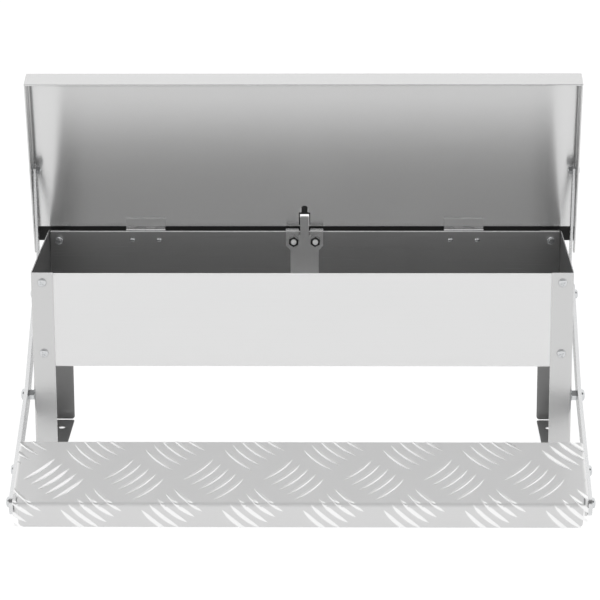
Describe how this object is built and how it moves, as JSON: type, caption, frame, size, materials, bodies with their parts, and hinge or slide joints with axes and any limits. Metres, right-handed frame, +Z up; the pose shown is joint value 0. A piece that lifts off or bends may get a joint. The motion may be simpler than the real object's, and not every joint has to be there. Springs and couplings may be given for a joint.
{
  "type": "treadle chicken feeder",
  "caption": "Stainless trough feeder with a hinged lid that two links open when a bird stands on the tread plate in front.",
  "frame": {"origin": "centre of the bounding box on the ground, in the pictured pose with the lid open and the treadle down", "axes": "+X to the object's right seen from the birds' side, +Y away from the birds, +Z up"},
  "size_m": [0.5926, 0.3625, 0.4008],
  "materials": {
    "stainless_sheet": "smooth cold-rolled sheet",
    "brushed_stainless": "brushed along its width",
    "tread_aluminium": "bright five-bar tread plate",
    "fastener_steel": "plain steel fasteners",
    "rubber": "matte black"
  },
  "bodies": {
    "frame": {"side_panel_left": "stainless_sheet", "side_panel_right": "stainless_sheet", "trough_body": "stainless_sheet", "centre_bracket": "stainless_sheet", "front_screw_upper_left": "fastener_steel", "front_screw_upper_right": "fastener_steel", "rear_screw_upper_left": "fastener_steel", "rear_screw_upper_right": "fastener_steel", "front_screw_lower_left": "fastener_steel", "front_screw_lower_right": "fastener_steel", "rear_screw_lower_left": "fastener_steel", "rear_screw_lower_right": "fastener_steel", "bracket_bolt_left": "fastener_steel", "bracket_bolt_right": "fastener_steel", "bracket_nut_left": "fastener_steel", "bracket_nut_right": "fastener_steel", "pivot_bolt_left": "fastener_steel", "pivot_bolt_right": "fastener_steel", "spacer_nut_left": "fastener_steel", "spacer_nut_right": "fastener_steel", "lock_nut_left": "fastener_steel", "lock_nut_right": "fastener_steel", "hinge_lower_leaf_left": "stainless_sheet", "hinge_lower_leaf_right": "stainless_sheet", "hinge_pin_left": "fastener_steel", "hinge_pin_right": "fastener_steel", "lower_rivet_1_left": "fastener_steel", "lower_rivet_1_right": "fastener_steel", "lower_rivet_2_left": "fastener_steel", "lower_rivet_2_right": "fastener_steel"},
    "treadle": {"tread_plate": "tread_aluminium", "lever_arm_left": "stainless_sheet", "lever_arm_right": "stainless_sheet", "link_bolt_left": "fastener_steel", "link_bolt_right": "fastener_steel", "plate_bolt_rear_left": "fastener_steel", "plate_bolt_rear_right": "fastener_steel", "plate_bolt_front_left": "fastener_steel", "plate_bolt_front_right": "fastener_steel"},
    "lid": {"lid_shell": "brushed_stainless", "slot_buffer": "rubber", "lid_bolt_left": "fastener_steel", "lid_bolt_right": "fastener_steel", "hinge_upper_leaf_left": "stainless_sheet", "hinge_upper_leaf_right": "stainless_sheet", "upper_rivet_1_left": "fastener_steel", "upper_rivet_1_right": "fastener_steel", "upper_rivet_2_left": "fastener_steel", "upper_rivet_2_right": "fastener_steel", "lid_nut_left": "fastener_steel", "lid_nut_right": "fastener_steel"},
    "link_left": {"link_left": "stainless_sheet", "link_rivet_left": "fastener_steel"},
    "link_right": {"link_right": "stainless_sheet", "link_rivet_right": "fastener_steel"}
  },
  "joints": [
    {"name": "treadle_pivot", "type": "hinge", "parent": "frame", "child": "treadle", "pos_m": [0, 0.00001, 0.0843], "axis": [-1, 0, 0], "range_deg": [0, 38.8]},
    {"name": "lid_hinge", "type": "hinge", "parent": "frame", "child": "lid", "pos_m": [0, 0.17361, 0.2185], "axis": [1, 0, 0], "range_deg": [0, 75]},
    {"name": "link_left_pivot", "type": "hinge", "parent": "lid", "child": "link_left", "pos_m": [-0.29, 0.1457, 0.29177], "axis": [-1, 0, 0], "range_deg": [0, 41.2]},
    {"name": "link_right_pivot", "type": "hinge", "parent": "lid", "child": "link_right", "pos_m": [0.29, 0.1457, 0.29177], "axis": [-1, 0, 0], "range_deg": [0, 41.2]}
  ],
  "couplings": [
    {"joint": "lid_hinge", "follows": "treadle_pivot", "ratio": 1.9329},
    {"joint": "link_left_pivot", "follows": "treadle_pivot", "ratio": 1.06},
    {"joint": "link_right_pivot", "follows": "treadle_pivot", "ratio": 1.06}
  ]
}
